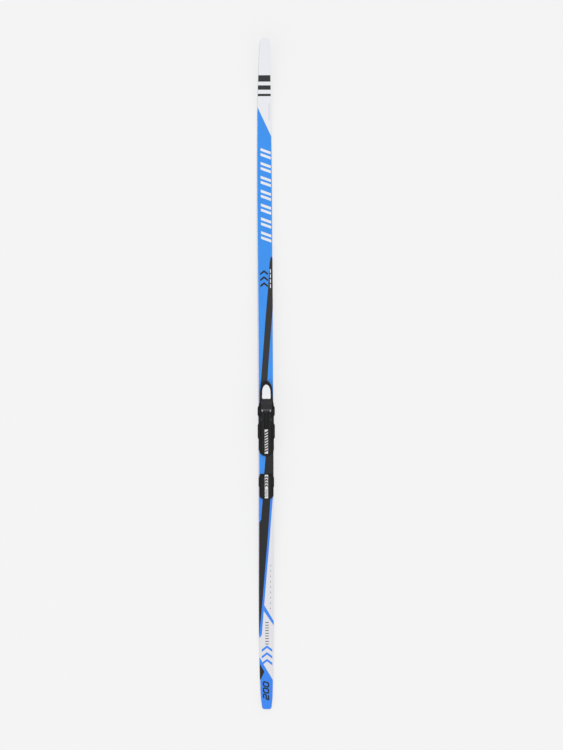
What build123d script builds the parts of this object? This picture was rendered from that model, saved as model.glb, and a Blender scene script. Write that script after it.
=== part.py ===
from build123d import *
import math
import os

os.makedirs("parts", exist_ok=True)

# Cross country touring ski lying on its sole, with a step-in toe-bar binding. Millimetres.
# X is across the ski, +Y runs to the tip, +Z is up, and Z = 0 is the snow line under the contact zones.
# The origin is midway between tip and tail.

# ---- ski: overall sizes ----
ski_length = 2000.0  # straight length from tip to tail
tip_y = ski_length / 2
tail_y = -ski_length / 2
half_width = 23.1  # sole, under the binding
tip_radius = 15.0  # the round nose
tip_taper = 8.6  # how much each side draws in at the tip
tip_taper_start = 400.0
tail_taper = 6.0
tail_taper_start = -550.0
tail_side_run = 50.0  # the last stretch of each side, rounded to the tail
tail_side_bow = 1.9
tail_end_half = 13.4
tail_corner_radius = 3.5
sidewall_slope = 0.055  # how far a flank leans in for each mm of height

# ---- ski: side view ----
tip_rise = 62.0
tip_curve_length = 300.0
front_contact_length = 110.0
tail_rise = 9.0
tail_curve_length = 130.0
rear_contact_length = 70.0
camber_height = 21.0
tip_thickness = 5.6
tail_thickness = 6.2
waist_thickness = 26.0
thickest_y = -165.0
tip_thin_length = 120.0  # the thin stretch at the tip
tail_thin_length = 60.0
flat_power = 2.4  # how long the thick middle stays
fade_power = 2.2  # how fast it thins to the ends

# ---- ski: layers ----
base_thickness = 1.6
groove_width = 8.0
groove_depth = 0.9
groove_end_gap = 14.0
laminate_thickness = 0.7
top_sheet_thickness = 0.8
core_inset = 3.4  # sole edge to core, which is the sidewall's foot
core_tip_gap = 190.0
core_tail_gap = 115.0
channel_width = 9.0
channel_x = 9.5
channel_roof = 5.0
channel_end_gap = 260.0

# ---- binding: placing ----
toe_bar_y = -112.0
heel_front_y = -298.4
heel_rear_y = -373.0

# Binding sizes are given in plan as half widths and as distances ahead of (+) or behind (-) the toe bar,
# and upright as heights above the seat on the top sheet.

# ---- binding: lever of the press plate, which slides the claws ----
claw_travel = 5.0
press_angle = 10.0
cam_ahead = 44.35
cam_arm = claw_travel / math.radians(press_angle)
pin_ahead = cam_ahead + cam_arm

# ---- binding: plates ----
nose_past_pin = 18.0
nose_length = 35.0  # the part of the nose that draws in
nose_tip = pin_ahead + nose_past_pin
nose_middle = nose_tip - nose_length
nose_half = 18.7
toe_sides = [(19.5, 34), (22.5, 17), (25.6, 11), (25.6, -10), (23.0, -16), (23.0, -35),
             (25.6, -41), (25.6, -78), (22.8, -83), (22.8, -107)]
toe_end_corner = (16.5, -126.5)
toe_end_half = 5.0
toe_end = -133.6
heel_sides = [(19.0, 37.3), (23.0, 26.0), (23.0, 1.0), (21.4, -3.0), (21.4, -22.0)]
heel_end_corner = (18.2, -32.6)
heel_end_half = 9.0
floor_height = 4.0
plate_root = 8.0  # how far a plate's block reaches down before the ski's top trims it
corner_round = 2.0
ridge_height = 11.0
ridge_inner = 6.0  # half the channel
ridge_outer = 15.0
ridge_end = -125.0
heel_ridge_gap = 4.0
ridge_round = 1.2
ridge_end_radius = 3.0
wing_height = 7.0
wing_inner = 18.5
wing_spans = [(9.0, -10.0), (-41.0, -78.0)]

# ---- binding: toe bar ----
slot_width = 5.0
slot_floor = 5.2
toe_block_height = 9.4
slot_rear_wall = 3.5
slot_front_wall = 1.7
saddle_thickness = 0.8
saddle_half = 7.4
saddle_height = 9.0

# ---- binding: claw slider ----
sheet_thickness = 1.5
slide_gap = 0.1
claw_height = 9.7  # underside of the hooks
claw_top = 11.6
claw_reach = -2.4  # the hooks' tips
claw_stem = 5.0  # rear face of their stems
claw_inner = 9.5
claw_outer = 14.5
claw_point = 1.6  # how much each side of a hook's tip draws in
claw_point_length = 4.5
claw_bevel = 1.2
prong_inner = 9.0
prong_outer = 15.0
prong_room = 1.0  # beside each prong
yoke_front = 52.0
yoke_rear = 32.0
ramp_thickness = 2.1
spring_tab_height = 10.0

# ---- binding: toe housing ----
housing_wall = 2.2
housing_roof = 2.5
housing_rear = 10.0
cheek_height = 8.0  # rear end of the cheeks beside the flexor
cheek_run = 14.0  # over which they climb to the roof
nose_drop = 3.0  # from the roof to the top of the upright nose
roof_front = (nose_tip - 4.4, 12.6)
roof_rear = (34.0, 20.5)
roof_slope = (roof_rear[1] - roof_front[1]) / (roof_front[0] - roof_rear[0])
bridge_front = 35.2
bridge_rear = 33.8
boss_inner = 9.2
boss_outer = 14.6
boss_front = pin_ahead + 3.5
web_inner = 5.4
web_front = pin_ahead - 4.2
web_rear = pin_ahead - 6.2
web_height = 10.4

# ---- binding: press plate ----
pin_height = 8.0
pin_radius = 1.25
pin_clearance = 0.05
pin_half_length = 13.5
press_thickness = 2.5
press_crown = 0.4
press_gap = 0.6
press_front = pin_ahead + 6.6
press_nose_length = 22.6
press_half = 12.2
press_rear_half = 12.8
press_rear = 37.6
press_corner = 3.5
lug_inner = 1.6
lug_outer = 4.2
lug_radius = 3.0
lug_neck = 4.2  # from the pin up into the plate
cam_half = 3.5
cam_contact_height = 10.3
cam_gap = 0.5
cam_length = 1.6
cam_root = 1.0  # how far the cam reaches into the plate

# ---- binding: flexor ----
flexor_half = 15.9
flexor_front = 33.4
flexor_rear = 7.0
flexor_top = 23.0
flexor_round = 2.5  # front shoulder
flexor_crest = 15.0  # length of the domed top
flexor_crest_drop = 2.0
flexor_lip = 4.2  # rear edge of the hood over the claws
flexor_lip_thickness = 1.6
flexor_corner = 7.0
flexor_gap = 0.7  # over the slider and the claws
flexor_foot_half = 6.5
flexor_foot_inset = 2.0
flexor_notch = 13.0
flexor_groove = 0.8
flexor_grooves = 4

# ---- binding: springs ----
spring_x = 8.5
spring_radius = 2.2
spring_wire = 0.3
spring_turns = 6
spring_height = 7.3

# ---- binding: screws ----
screw_radius = 2.5
screw_head_radius = 4.6
screw_depth = 15.0  # thread below the seat
screw_point = 4.0
screw_pair_x = 13.0
screw_pair_behind = 25.0
screw_well = 5.2
front_screw_ahead = pin_ahead - 13.0
rear_screw_behind = 94.0
heel_screw_inset = 20.0
drive_width = 1.2
drive_length = 5.2
drive_depth = 1.4

# ---- binding: channel strips ----
strip_half = 5.0
strip_thickness = 1.2
strip_front = -54.0
strip_rear = -126.0
heel_strip_gap = 2.5


# ---- drawing ----
overcut = 1.0  # how far a cut runs past what it cuts
plan_low = -50.0  # plans are drawn below the ski and extruded up through it
plan_height = 200.0
seat_step = 3  # spacing of the heights that the seat is the highest of


# ==== side view of the ski ====

front_contact_end = tip_y - tip_curve_length
front_contact_start = front_contact_end - front_contact_length
rear_contact_end = tail_y + tail_curve_length
rear_contact_start = rear_contact_end + rear_contact_length
camber_middle = (front_contact_start + rear_contact_start) / 2
camber_half = (front_contact_start - rear_contact_start) / 2


def arc_rise(run, length, rise):
    """Height of an arc that leaves the floor level and has climbed `rise` after `length`."""
    radius = (length**2 + rise**2) / (2 * rise)
    return radius - math.sqrt(radius**2 - run**2)


def sole_height(y):
    if y > front_contact_end:
        return arc_rise(y - front_contact_end, tip_curve_length, tip_rise)
    if y < rear_contact_end:
        return arc_rise(rear_contact_end - y, tail_curve_length, tail_rise)
    across = (y - camber_middle) / camber_half
    return camber_height * max(0.0, 1 - across**2) ** 2


def thickness(y):
    """The ski is thickest under the foot and fades to its tip and tail."""
    if y > thickest_y:
        share = min(1.0, (y - thickest_y) / (tip_y - tip_thin_length - thickest_y))
        end = tip_thickness
    else:
        share = min(1.0, (thickest_y - y) / (thickest_y - tail_y - tail_thin_length))
        end = tail_thickness
    return end + (waist_thickness - end) * (1 - share**flat_power) ** fade_power


top_stations = 25
station_ys = [tail_y + ski_length * n / (top_stations - 1) for n in range(top_stations)]


def top_height(y):
    return sole_height(y) + thickness(y)


def sole_line(height):
    """The sole's side view, raised by a height: tail curve, contact, camber, contact, tip curve."""
    tail_mid = rear_contact_end - tail_curve_length / 2
    tip_mid = front_contact_end + tip_curve_length / 2
    camber_points = [
        (camber_middle + camber_half * n / 4, height + sole_height(camber_middle + camber_half * n / 4))
        for n in range(-4, 5)
    ]
    ThreePointArc(
        (tail_y, height + tail_rise), (tail_mid, height + sole_height(tail_mid)), (rear_contact_end, height)
    )
    Line((rear_contact_end, height), (rear_contact_start, height))
    Spline(camber_points, tangents=[(1, 0), (1, 0)])
    Line((front_contact_start, height), (front_contact_end, height))
    ThreePointArc(
        (front_contact_end, height), (tip_mid, height + sole_height(tip_mid)), (tip_y, height + tip_rise)
    )


def top_line(depth):
    """The top's side view, lowered by a depth."""
    Spline([(y, top_height(y) - depth) for y in station_ys])


def end_lines(tail_low, tail_high, tip_low, tip_high):
    Line((tail_y, tail_low), (tail_y, tail_high))
    Line((tip_y, tip_low), (tip_y, tip_high))


lower_laminate_z = base_thickness
core_z = lower_laminate_z + laminate_thickness
core_depth = top_sheet_thickness + laminate_thickness

# ==== plan view and flanks of the ski ====

def sole_half_width(y):
    """Parallel under the foot, drawn in by a power law towards the tip and towards the tail."""
    ahead = max(0.0, (y - tip_taper_start) / (tip_y - tip_taper_start))
    behind = max(0.0, (tail_taper_start - y) / (tail_taper_start - tail_y))
    return half_width - tip_taper * ahead**2.9 - tail_taper * behind**3


section_count = 21
overrun = 10.0  # the envelope runs past both ends, which the plan then trims
envelope_margin = 4.0  # and past the sole and the top, so that only its flanks cut the layers
section_ys = [
    tail_y - overrun + (ski_length + 2 * overrun) * n / (section_count - 1) for n in range(section_count)
]
tail_side_half = sole_half_width(tail_y + tail_side_run)

with BuildPart() as envelope:
    for y in section_ys:
        low = sole_height(y) - envelope_margin
        high = top_height(y) + envelope_margin
        foot = sole_half_width(y) + sidewall_slope * envelope_margin
        head = foot - sidewall_slope * (high - low)
        with BuildSketch(Plane.XZ.offset(-y)):
            with BuildLine():
                Polyline((-foot, low), (foot, low), (head, high), (-head, high), close=True)
            make_face()
    loft()
    with BuildSketch(Plane.XY.offset(plan_low)):
        with Locations((0, (tip_y - tip_radius + tail_y + tail_side_run) / 2)):
            Rectangle(4 * half_width, tip_y - tip_radius - tail_y - tail_side_run)
        with Locations((0, tip_y - tip_radius)):
            Circle(tip_radius)
        with BuildLine():
            side = ThreePointArc(
                (tail_side_half, tail_y + tail_side_run),
                (tail_side_half - tail_side_bow, tail_y + tail_side_run / 2),
                (tail_end_half, tail_y),
            )
            mirror(side, about=Plane.YZ)
            Line((-tail_side_half, tail_y + tail_side_run), (tail_side_half, tail_y + tail_side_run))
            Line((-tail_end_half, tail_y), (tail_end_half, tail_y))
        tail_end = make_face()
        fillet(tail_end.vertices().group_by(Axis.Y)[0], tail_corner_radius)
    extrude(amount=plan_height, mode=Mode.INTERSECT)

# ==== layers of the ski ====


def layer(low_line, low, high_line, high, ends):
    """A full-width layer between two side-view lines, trimmed to the ski's flanks and ends."""
    with BuildPart() as sheet:
        with BuildSketch(Plane.YZ):
            with BuildLine():
                low_line(low)
                high_line(high)
                end_lines(*ends)
            make_face()
        extrude(amount=2 * half_width, both=True)
        add(envelope.part, mode=Mode.INTERSECT)
    return sheet.part


tail_top = top_height(tail_y)
tip_top = top_height(tip_y)
screw_spots = [
    (0, toe_bar_y + front_screw_ahead),
    (screw_pair_x, toe_bar_y - screw_pair_behind),
    (-screw_pair_x, toe_bar_y - screw_pair_behind),
    (0, toe_bar_y - rear_screw_behind),
]

# The front plate is level at the height of the ski's crown. The heel plate lies along the ski.
seat_z = max(top_height(toe_bar_y + n) for n in range(int(toe_end), int(nose_tip), seat_step))
heel_front_z = top_height(heel_front_y)
heel_rear_z = top_height(heel_rear_y)
heel_tilt = math.atan2(heel_front_z - heel_rear_z, heel_front_y - heel_rear_y)
heel_length = math.hypot(heel_front_z - heel_rear_z, heel_front_y - heel_rear_y)
toe_plane = Plane(origin=(0, toe_bar_y, seat_z), x_dir=(1, 0, 0), z_dir=(0, 0, 1))
heel_plane = Plane(
    origin=(0, (heel_front_y + heel_rear_y) / 2, (heel_front_z + heel_rear_z) / 2),
    x_dir=(1, 0, 0),
    z_dir=(0, -math.sin(heel_tilt), math.cos(heel_tilt)),
)
heel_screw_v = heel_length / 2 - heel_screw_inset
toe_screw_uv = [(x, y - toe_bar_y) for x, y in screw_spots]
heel_screw_uv = [(0, heel_screw_v), (0, -heel_screw_v)]

with BuildPart() as screw_bores:
    with BuildSketch(toe_plane.offset(floor_height)):
        with Locations(*toe_screw_uv):
            Circle(screw_radius)
    extrude(amount=-floor_height - screw_depth)
    with BuildSketch(heel_plane.offset(floor_height)):
        with Locations(*heel_screw_uv):
            Circle(screw_radius)
    extrude(amount=-floor_height - screw_depth)

with BuildPart() as running_base:
    add(layer(sole_line, 0, sole_line, base_thickness,
              (tail_rise, tail_rise + base_thickness, tip_rise, tip_rise + base_thickness)))
    with BuildSketch(Plane.YZ):
        with BuildLine():
            sole_line(-overcut)
            sole_line(groove_depth)
            end_lines(tail_rise - overcut, tail_rise + groove_depth,
                      tip_rise - overcut, tip_rise + groove_depth)
        make_face()
        with Locations(((tail_y + groove_end_gap + front_contact_end) / 2, 0)):
            Rectangle(front_contact_end - tail_y - groove_end_gap, 4 * tip_rise, mode=Mode.INTERSECT)
    extrude(amount=groove_width / 2, both=True, mode=Mode.SUBTRACT)
running_base.part.label = "running_base"

with BuildPart() as lower_laminate:
    add(layer(sole_line, lower_laminate_z, sole_line, core_z,
              (tail_rise + lower_laminate_z, tail_rise + core_z,
               tip_rise + lower_laminate_z, tip_rise + core_z)))
lower_laminate.part.label = "lower_laminate"

with BuildPart() as upper_laminate:
    add(layer(top_line, core_depth, top_line, top_sheet_thickness,
              (tail_top - core_depth, tail_top - top_sheet_thickness,
               tip_top - core_depth, tip_top - top_sheet_thickness)))
    add(screw_bores.part, mode=Mode.SUBTRACT)
upper_laminate.part.label = "upper_laminate"

with BuildPart() as top_sheet:
    add(layer(top_line, top_sheet_thickness, top_line, 0,
              (tail_top - top_sheet_thickness, tail_top, tip_top - top_sheet_thickness, tip_top)))
    add(screw_bores.part, mode=Mode.SUBTRACT)
top_sheet.part.label = "top_sheet"

core_layer = layer(sole_line, core_z, top_line, core_depth,
                   (tail_rise + core_z, tail_top - core_depth, tip_rise + core_z, tip_top - core_depth))
core_front = tip_y - core_tip_gap
core_rear = tail_y + core_tail_gap

with BuildPart() as tip_spacer:
    add(core_layer)
    split(bisect_by=Plane.XZ.offset(-core_front), keep=Keep.BOTTOM)
tip_spacer.part.label = "tip_spacer"

with BuildPart() as tail_spacer:
    add(core_layer)
    split(bisect_by=Plane.XZ.offset(-core_rear), keep=Keep.TOP)
tail_spacer.part.label = "tail_spacer"

with BuildPart() as core_plan:
    with BuildSketch(Plane.XY.offset(plan_low)):
        with BuildLine():
            right = Spline([(sole_half_width(y) - core_inset, y) for y in section_ys])
            left = Spline([(core_inset - sole_half_width(y), y) for y in section_ys])
            Line(right @ 0, left @ 0)
            Line(right @ 1, left @ 1)
        make_face()
        with Locations((0, (core_front + core_rear) / 2)):
            Rectangle(4 * half_width, core_front - core_rear, mode=Mode.INTERSECT)
    extrude(amount=plan_height)

with BuildPart() as air_channels:
    channel_y = (core_front + core_rear) / 2
    with Locations((-channel_x, channel_y, 0), (channel_x, channel_y, 0)):
        Box(channel_width, core_front - core_rear - 2 * channel_end_gap, 8 * waist_thickness)
    add(core_layer.moved(Location((0, 0, -channel_roof))), mode=Mode.INTERSECT)

with BuildPart() as wood_core:
    add(core_layer)
    add(core_plan.part, mode=Mode.INTERSECT)
    add(air_channels.part, mode=Mode.SUBTRACT)
    add(screw_bores.part, mode=Mode.SUBTRACT)
wood_core.part.label = "wood_core"


def sidewall(keep):
    with BuildPart() as wall:
        add(core_layer)
        with BuildSketch(Plane.XY.offset(plan_low)):
            with Locations((0, (core_front + core_rear) / 2)):
                Rectangle(4 * half_width, core_front - core_rear)
        extrude(amount=plan_height, mode=Mode.INTERSECT)
        add(core_plan.part, mode=Mode.SUBTRACT)
        split(bisect_by=Plane.YZ, keep=keep)
    return wall.part


sidewall_left = sidewall(Keep.BOTTOM)
sidewall_left.label = "sidewall_left"
sidewall_right = sidewall(Keep.TOP)
sidewall_right.label = "sidewall_right"


# ==== binding ====

toe_side = Plane(origin=(0, toe_bar_y, seat_z), x_dir=(0, 1, 0), z_dir=(1, 0, 0))  # (ahead, height)
slider_low = floor_height + slide_gap
slider_high = slider_low + sheet_thickness

with BuildPart() as under_top:
    with BuildSketch(Plane.YZ):
        with BuildLine():
            top_line(0)
            Polyline((tail_y, tail_top), (tail_y, -overcut), (tip_y, -overcut), (tip_y, tip_top))
        make_face()
    extrude(amount=2 * half_width, both=True)


def toe_plan_lines():
    """Plan of the toe unit: a half ellipse for the nose, stepped sides, a rounded rear end."""
    nose = EllipticalCenterArc((0, nose_middle), nose_half, nose_tip - nose_middle, arc_size=90)
    sides = Polyline((nose_half, nose_middle), *toe_sides)
    corner = ThreePointArc(toe_sides[-1], toe_end_corner, (toe_end_half, toe_end))
    end = Line((toe_end_half, toe_end), (0, toe_end))
    for line in (nose, sides, corner, end):
        mirror(line, about=Plane.YZ)


def heel_plan_lines():
    sides = Polyline((0, heel_sides[0][1]), *heel_sides)
    corner = ThreePointArc(heel_sides[-1], heel_end_corner, (heel_end_half, -heel_sides[0][1]))
    end = Line((heel_end_half, -heel_sides[0][1]), (0, -heel_sides[0][1]))
    for line in (sides, corner, end):
        mirror(line, about=Plane.YZ)


def countersunk_holes(plane, spots):
    """Screw holes whose mouths lie level with the plate's floor, cut from the part in hand."""
    with Locations(*[plane.offset(floor_height).location * Location((u, v, 0)) for u, v in spots]):
        CounterSinkHole(screw_radius, screw_head_radius, depth=plate_root + floor_height)


with BuildPart() as binding_base:
    with BuildSketch(toe_plane.offset(-plate_root)) as toe_plan:
        with BuildLine():
            toe_plan_lines()
        make_face()
        steps = toe_plan.vertices().filter_by(
            lambda v: abs(v.X) >= toe_sides[0][0] and v.Y > toe_sides[-1][1]
        )
        fillet(steps, corner_round)
    extrude(amount=plate_root + floor_height)
    for ahead, behind in wing_spans:
        with BuildSketch(toe_plane.offset(floor_height)):
            with BuildLine():
                toe_plan_lines()
            make_face()
            with Locations((0, (ahead + behind) / 2)):
                Rectangle(4 * half_width, ahead - behind, mode=Mode.INTERSECT)
            Rectangle(2 * wing_inner, 4 * abs(toe_end), mode=Mode.SUBTRACT)
        extrude(amount=wing_height - floor_height)
    # toe-bar block: a rear wall, a floor under the bar and a front wall that lets the claws through
    with BuildSketch(toe_plane.offset(floor_height)):
        with Locations((0, -slot_width / 2 - slot_rear_wall / 2)):
            Rectangle(2 * wing_inner, slot_rear_wall)
        prong_way = prong_outer + prong_room
        for side in (-1, 1):
            with Locations((side * (wing_inner + prong_way) / 2, (slot_width + slot_front_wall) / 2)):
                Rectangle(wing_inner - prong_way, slot_front_wall)
        with Locations((0, slot_width / 2 + saddle_thickness + slot_front_wall / 2)):
            Rectangle(2 * saddle_half, slot_front_wall)
    extrude(amount=toe_block_height - floor_height)
    with BuildSketch(toe_plane.offset(floor_height)):
        Rectangle(2 * wing_inner, slot_width)
    extrude(amount=slot_floor - floor_height)
    # guide ridges
    for side in (-1, 1):
        with BuildSketch(toe_plane.offset(floor_height)) as ridge_plan:
            with Locations((side * (ridge_inner + ridge_outer) / 2, (ridge_end - slot_width / 2) / 2)):
                Rectangle(ridge_outer - ridge_inner, abs(ridge_end) - slot_width / 2)
            fillet(ridge_plan.vertices().group_by(Axis.Y)[0], ridge_end_radius)
        extrude(amount=ridge_height - floor_height)
    crowns = binding_base.faces().filter_by(Axis.Z).group_by(Axis.Z)[-1]
    fillet(crowns.edges(), ridge_round)
    with BuildSketch(toe_plane.offset(ridge_height)):
        Rectangle(2 * saddle_half, slot_width + 2 * saddle_thickness)
    extrude(amount=-(ridge_height - slot_floor + saddle_thickness), mode=Mode.SUBTRACT)
    with BuildSketch(toe_plane.offset(floor_height)):
        with Locations(*[(u, v) for u, v in toe_screw_uv if u]):
            Circle(screw_well)
    extrude(amount=ridge_height, mode=Mode.SUBTRACT)
    countersunk_holes(toe_plane, toe_screw_uv)
    add(under_top.part, mode=Mode.SUBTRACT)
binding_base.part.label = "binding_base"

with BuildPart() as housing_cavity:
    with BuildSketch(toe_plane.offset(floor_height)):
        with BuildLine():
            inner_nose = EllipticalCenterArc(
                (0, nose_middle), nose_half - housing_wall, nose_tip - nose_middle - housing_wall,
                arc_size=90,
            )
            inner_side = Polyline(
                (nose_half - housing_wall, nose_middle), (nose_half - housing_wall, bridge_front),
                (0, bridge_front),
            )
            mirror(inner_nose, about=Plane.YZ)
            mirror(inner_side, about=Plane.YZ)
        make_face()
    extrude(amount=flexor_top)
    with BuildSketch(toe_side):
        front, top = roof_front
        rear, rear_top = roof_rear
        with BuildLine():
            Polyline(
                (nose_tip, floor_height), (nose_tip, top - housing_roof - (nose_tip - front) * roof_slope),
                (rear, rear_top - housing_roof), (rear, floor_height), close=True,
            )
        make_face()
    extrude(amount=2 * nose_half, both=True, mode=Mode.INTERSECT)


def press_plan_lines(gap, rear):
    """Plan of the press plate, grown by a gap: a half ellipse that flares a little to its rear edge."""
    press_middle = press_front - press_nose_length
    nose = EllipticalCenterArc(
        (0, press_middle), press_half + gap, press_nose_length + gap, arc_size=90
    )
    side = Polyline((press_half + gap, press_middle), (press_rear_half + gap, rear), (0, rear))
    mirror(nose, about=Plane.YZ)
    mirror(side, about=Plane.YZ)


with BuildPart() as toe_housing:
    with BuildSketch(toe_plane.offset(floor_height)):
        with BuildLine():
            toe_plan_lines()
        make_face()
        with Locations((0, (nose_tip + housing_rear) / 2)):
            Rectangle(4 * half_width, nose_tip - housing_rear, mode=Mode.INTERSECT)
    extrude(amount=flexor_top)
    with BuildSketch(toe_side):
        with BuildLine():
            Polyline(
                (nose_tip, floor_height), (nose_tip, roof_front[1] - nose_drop), roof_front, roof_rear,
                (housing_rear + cheek_run, roof_rear[1]), (housing_rear, cheek_height),
                (housing_rear, floor_height), close=True,
            )
        make_face()
    extrude(amount=2 * nose_half, both=True, mode=Mode.INTERSECT)
    add(housing_cavity.part, mode=Mode.SUBTRACT)
    with BuildSketch(toe_plane.offset(floor_height)):
        with BuildLine():
            press_plan_lines(press_gap, bridge_front)
        make_face()
    extrude(amount=flexor_top, mode=Mode.SUBTRACT)
    with BuildSketch(toe_plane.offset(floor_height)):
        with Locations((0, bridge_rear / 2)):
            Rectangle(2 * flexor_half + 2 * slide_gap, bridge_rear)
    extrude(amount=flexor_top, mode=Mode.SUBTRACT)
    with BuildSketch(toe_plane.offset(floor_height)):
        with Locations((0, (bridge_front + bridge_rear) / 2)):
            Rectangle(2 * prong_outer + prong_room, 2 * (bridge_front - bridge_rear))
    extrude(amount=slider_high + flexor_gap - floor_height, mode=Mode.SUBTRACT)
    for side in (-1, 1):
        with BuildSketch(toe_plane.offset(floor_height)):
            with Locations((side * (boss_inner + boss_outer) / 2, (boss_front + web_rear) / 2)):
                Rectangle(boss_outer - boss_inner, boss_front - web_rear)
        extrude(amount=roof_front[1] - housing_roof - floor_height + overcut)
        with BuildSketch(toe_plane.offset(floor_height)):
            with Locations((side * (web_inner + boss_outer) / 2, (web_front + web_rear) / 2)):
                Rectangle(boss_outer - web_inner, web_front - web_rear)
        extrude(amount=web_height - floor_height)
    with BuildSketch(toe_side):
        with Locations((pin_ahead, pin_height)):
            Circle(pin_radius)
    extrude(amount=pin_half_length, both=True, mode=Mode.SUBTRACT)
toe_housing.part.label = "toe_housing"

with BuildPart() as press_plate_pin:
    with BuildSketch(toe_side):
        with Locations((pin_ahead, pin_height)):
            Circle(pin_radius)
    extrude(amount=pin_half_length, both=True)
press_plate_pin.part.label = "press_plate_pin"


def press_top(ahead):
    return roof_front[1] + (roof_front[0] - ahead) * roof_slope


with BuildPart() as press_plate:
    with BuildSketch(toe_plane) as press_plan:
        with BuildLine():
            press_plan_lines(0, press_rear)
        make_face()
        fillet([v for v in press_plan.vertices().group_by(Axis.Y)[0] if v.X], press_corner)
    extrude(amount=flexor_top)
    with BuildSketch(toe_side):
        with BuildLine():
            Polyline(
                (press_rear, press_top(press_rear)),
                (press_rear, press_top(press_rear) - press_thickness),
                (press_front, press_top(press_front) - press_thickness),
                (press_front, press_top(press_front)),
            )
            crown = (press_front + press_rear) / 2
            ThreePointArc(
                (press_front, press_top(press_front)), (crown, press_top(crown) + press_crown),
                (press_rear, press_top(press_rear)),
            )
        make_face()
    extrude(amount=press_rear_half, both=True, mode=Mode.INTERSECT)
    for side in (-1, 1):
        with BuildSketch(toe_side.offset(side * (lug_inner + lug_outer) / 2)):
            with Locations((pin_ahead, pin_height)):
                Circle(lug_radius)
            with Locations((pin_ahead, pin_height + lug_neck / 2)):
                Rectangle(2 * lug_radius, lug_neck)
        extrude(amount=(lug_outer - lug_inner) / 2, both=True)
    with BuildSketch(toe_side):
        tip = cam_ahead - cam_gap
        tip_height = cam_contact_height + cam_gap
        root_height = press_top(tip) - cam_root
        with BuildLine():
            Polyline(
                (tip, tip_height), (tip, root_height), (tip - 2 * cam_length, root_height),
                (tip - 2 * cam_length, tip_height + cam_length), (tip - cam_length, tip_height), close=True,
            )
        make_face()
    extrude(amount=cam_half, both=True)
    with BuildSketch(toe_side):
        with Locations((pin_ahead, pin_height)):
            Circle(pin_radius + pin_clearance)
    extrude(amount=lug_outer, both=True, mode=Mode.SUBTRACT)
press_plate.part.label = "press_plate"

with BuildPart() as claw_slider:
    with BuildSketch(toe_plane.offset(slider_low)):
        with Locations((0, (yoke_front + yoke_rear) / 2)):
            Rectangle(2 * prong_outer, yoke_front - yoke_rear)
        ramp_foot = cam_ahead - (cam_contact_height - slider_high)
        with Locations((0, ramp_foot - cam_length)):
            Rectangle(2 * cam_half + 2 * cam_gap, 2 * cam_length, mode=Mode.SUBTRACT)
        for side in (-1, 1):
            with Locations((side * (prong_inner + prong_outer) / 2, (yoke_rear + claw_stem) / 2)):
                Rectangle(prong_outer - prong_inner, yoke_rear - claw_stem)
    extrude(amount=sheet_thickness)
    with BuildSketch(toe_side):
        with BuildLine():
            Polyline(
                (ramp_foot, slider_high), (cam_ahead, cam_contact_height),
                (cam_ahead + sheet_thickness, cam_contact_height), (ramp_foot + ramp_thickness, slider_high),
                close=True,
            )
        make_face()
    extrude(amount=cam_half, both=True)
    for side in (-1, 1):
        with BuildSketch(toe_plane.offset(slider_high)):
            with Locations((side * spring_x, yoke_front - sheet_thickness / 2)):
                Rectangle(2 * (spring_radius + spring_wire), sheet_thickness)
        extrude(amount=spring_tab_height - slider_high)
        with BuildSketch(toe_side.offset(side * (claw_inner + claw_outer) / 2)):
            with BuildLine():
                front = claw_stem + sheet_thickness
                Polyline(
                    (front, slider_low), (front, claw_top - claw_bevel), (front - claw_bevel, claw_top),
                    (claw_reach + claw_bevel, claw_top), (claw_reach, claw_top - claw_bevel),
                    (claw_reach, claw_height), (claw_stem, claw_height), (claw_stem, slider_low), close=True,
                )
            make_face()
        extrude(amount=(claw_outer - claw_inner) / 2, both=True)
    # the hooks' tips narrow to a point
    with BuildSketch(toe_plane.offset(claw_height)):
        for side in (-1, 1):
            for wall, inward in ((claw_inner, 1), (claw_outer, -1)):
                with BuildLine():
                    Polyline(
                        (side * wall, claw_reach), (side * (wall + inward * claw_point), claw_reach),
                        (side * wall, claw_reach + claw_point_length), close=True,
                    )
                make_face()
    extrude(amount=claw_top, mode=Mode.SUBTRACT)
claw_slider.part.label = "claw_slider"

spring_span = web_rear - yoke_front
with BuildPart() as claw_springs:
    for side in (-1, 1):
        foot = (side * spring_x, toe_bar_y + yoke_front + spring_wire, seat_z + spring_height)
        with BuildLine() as coil:
            Helix(
                pitch=(spring_span - 2 * spring_wire) / spring_turns, height=spring_span - 2 * spring_wire,
                radius=spring_radius, center=foot, direction=(0, 1, 0),
            )
        with BuildSketch(Plane(origin=coil.line @ 0, z_dir=coil.line % 0)):
            Circle(spring_wire)
        sweep(path=coil.line, is_frenet=True)
claw_springs.part.label = "claw_springs"

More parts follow.
